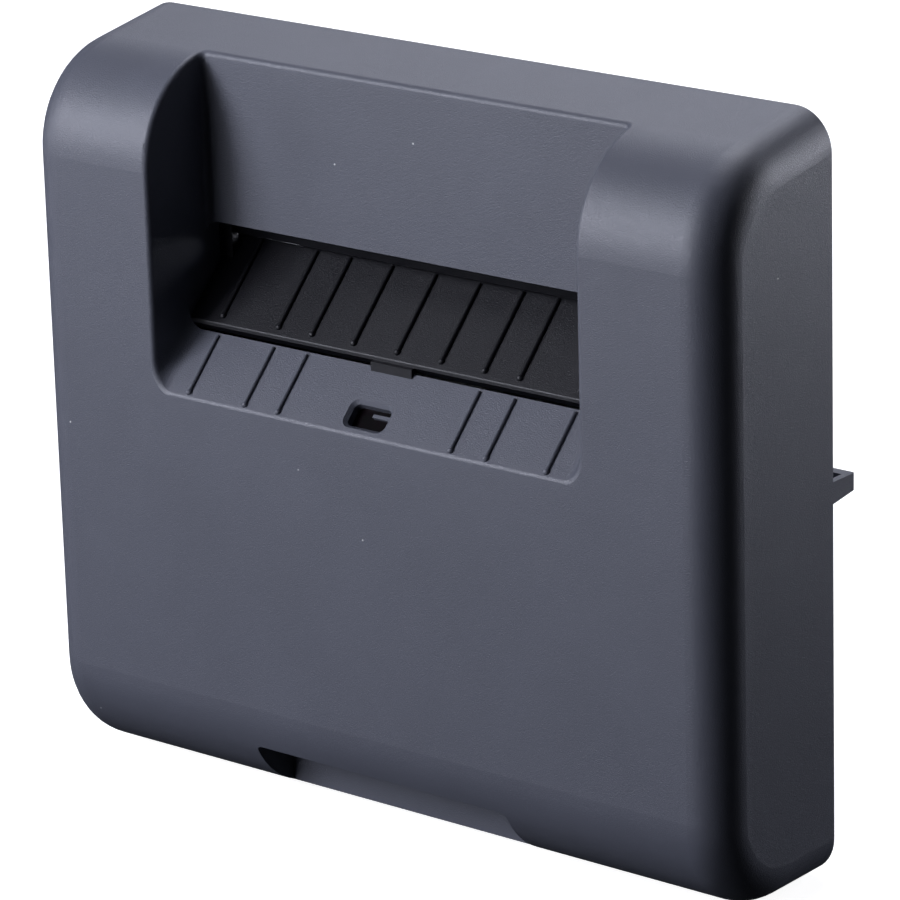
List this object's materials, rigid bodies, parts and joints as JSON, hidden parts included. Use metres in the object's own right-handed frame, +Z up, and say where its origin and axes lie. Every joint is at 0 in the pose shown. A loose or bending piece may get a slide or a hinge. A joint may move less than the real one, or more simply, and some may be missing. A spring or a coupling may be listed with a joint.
{
  "type": "label printer cutter module",
  "caption": "Clip-on guillotine cutter module for a narrow label printer, with a recessed label mouth, ribbed chute, sensor window and rear latch tabs.",
  "frame": {"origin": "centre of the rear seating plane, level with half the casing's height", "axes": "+X to the right seen from the front, +Y out of the rear face towards the printer, +Z up"},
  "size_m": [0.115, 0.035, 0.1036],
  "materials": {
    "casing": "fine-grained moulded dark blue-grey plastic",
    "black_plastic": "black moulded plastic with a coarse texture",
    "lens": "smooth dark infrared-clear plastic",
    "component_black": "black epoxy",
    "board": "green solder mask",
    "plated_steel": "zinc-plated sheet steel",
    "blade_steel": "ground tool steel",
    "shaft_steel": "polished steel",
    "screw_steel": "zinc-plated screws",
    "gear_plastic": "natural white acetal",
    "bronze": "sintered bronze and brass",
    "lead_black": "black wire insulation",
    "lead_red": "wire insulation",
    "socket_white": "cream nylon connector"
  },
  "bodies": {
    "housing": {"front_cover": "casing", "rear_cover": "casing", "guide_plate": "black_plastic", "sensor_lens": "lens", "label_sensor": "component_black", "sensor_board": "board", "sensor_posts": "black_plastic", "sensor_screws": "screw_steel", "sensor_lead": "lead_black", "cutter_frame": "plated_steel", "fixed_blade": "blade_steel", "carrier_rail_left": "black_plastic", "carrier_rail_right": "black_plastic", "shaft_bushing_left": "bronze", "shaft_bushing_right": "bronze", "idler_stud": "shaft_steel", "idler_ring": "screw_steel", "motor_can": "plated_steel", "motor_cap": "black_plastic", "motor_screws": "screw_steel", "motor_leads": "lead_red", "control_board": "board", "board_standoffs": "bronze", "board_chips": "component_black", "board_screws": "screw_steel", "lead_sockets": "socket_white", "printer_socket": "socket_white", "home_sensor": "component_black", "case_screws": "screw_steel", "frame_screws": "screw_steel", "guide_screws": "screw_steel", "rail_screws": "screw_steel", "fixed_blade_screws": "screw_steel"},
    "drive_shaft": {"cross_shaft": "shaft_steel", "rack_pinion_left": "gear_plastic", "rack_pinion_right": "gear_plastic", "shaft_gear": "gear_plastic", "shaft_ring": "screw_steel"},
    "blade": {"moving_blade": "blade_steel", "blade_carrier": "gear_plastic", "moving_blade_screws": "screw_steel"},
    "idler": {"idler_gear": "gear_plastic"},
    "motor_rotor": {"motor_shaft": "shaft_steel", "motor_pinion": "bronze"}
  },
  "joints": [
    {"name": "shaft_turn", "type": "hinge", "parent": "housing", "child": "drive_shaft", "pos_m": [0, -0.0126, 0.01225], "axis": [1, 0, 0], "range_deg": [0, 70.94]},
    {"name": "blade_lift", "type": "slide", "parent": "housing", "child": "blade", "axis": [0, 0, 1], "range_m": [0, 0.00522]},
    {"name": "idler_turn", "type": "hinge", "parent": "housing", "child": "idler", "pos_m": [0, -0.0126, 0.00025], "axis": [1, 0, 0], "range_deg": [-213.31, 0]},
    {"name": "motor_turn", "type": "hinge", "parent": "housing", "child": "motor_rotor", "pos_m": [0, -0.0126, -0.01175], "axis": [1, 0, 0], "range_deg": [0, 639.44]}
  ],
  "couplings": [
    {"joint": "blade_lift", "follows": "shaft_turn", "m_per_rad": 0.0042},
    {"joint": "idler_turn", "follows": "shaft_turn", "ratio": -3},
    {"joint": "motor_turn", "follows": "shaft_turn", "ratio": 9}
  ]
}
